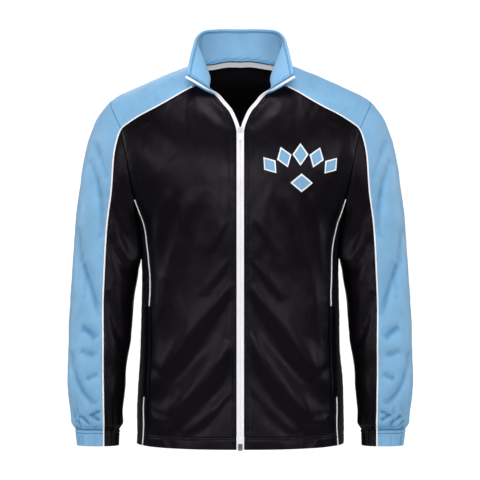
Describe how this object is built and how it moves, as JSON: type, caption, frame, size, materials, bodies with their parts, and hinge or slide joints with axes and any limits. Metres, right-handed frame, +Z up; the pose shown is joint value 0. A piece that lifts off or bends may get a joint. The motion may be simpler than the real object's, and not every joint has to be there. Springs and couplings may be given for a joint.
{
  "type": "track jacket",
  "caption": "Zip-through track jacket, filled out as worn: stand collar open at the top, raglan-look shoulder yokes, piped seams, gathered cuffs and a plain turned hem.",
  "frame": {"origin": "the base of the neck, midway between the two shoulder points, where the wearer's shoulders hold the jacket", "axes": "+Z up along the body, +Y towards the back, +X towards the wearer's left"},
  "size_m": [0.6254, 0.2655, 0.7643],
  "materials": {
    "black_tricot": "near-black polyester tricot with a soft satin sheen",
    "blue_tricot": "light blue polyester tricot with a soft satin sheen",
    "white_tape": "white woven tape",
    "white_piping": "white satin piping",
    "zip_teeth": "white nylon coil",
    "zip_metal": "white enamelled zip slider",
    "zip_end": "dark grey moulded end box"
  },
  "bodies": {
    "jacket": {"front_left": "black_tricot", "front_right": "black_tricot", "side_panel_left": "black_tricot", "side_panel_right": "black_tricot", "back": "black_tricot", "yoke_left": "blue_tricot", "yoke_right": "blue_tricot", "sleeve_outer_left": "blue_tricot", "sleeve_outer_right": "blue_tricot", "sleeve_under_left": "black_tricot", "sleeve_under_right": "black_tricot", "cuff_outer_left": "blue_tricot", "cuff_outer_right": "blue_tricot", "cuff_under_left": "black_tricot", "cuff_under_right": "black_tricot", "collar": "blue_tricot", "neck_tape": "white_tape", "piping_yoke_front_left": "white_piping", "piping_yoke_front_right": "white_piping", "piping_yoke_back_left": "white_piping", "piping_yoke_back_right": "white_piping", "piping_side_upper_left": "white_piping", "piping_side_upper_right": "white_piping", "piping_side_lower_left": "white_piping", "piping_side_lower_right": "white_piping", "pocket_welt_left": "black_tricot", "pocket_welt_right": "black_tricot", "zip_tape_left": "white_tape", "zip_tape_right": "white_tape", "zip_teeth_left": "zip_teeth", "zip_teeth_right": "zip_teeth", "slider": "zip_metal", "zip_box": "zip_end"},
    "pull_tab": {"pull_tab": "zip_metal"}
  },
  "joints": [
    {"name": "pull_tab_hinge", "type": "hinge", "parent": "jacket", "child": "pull_tab", "pos_m": [0, -0.11447, -0.12317], "axis": [-1, 0, 0], "range_deg": [0, 150]}
  ]
}
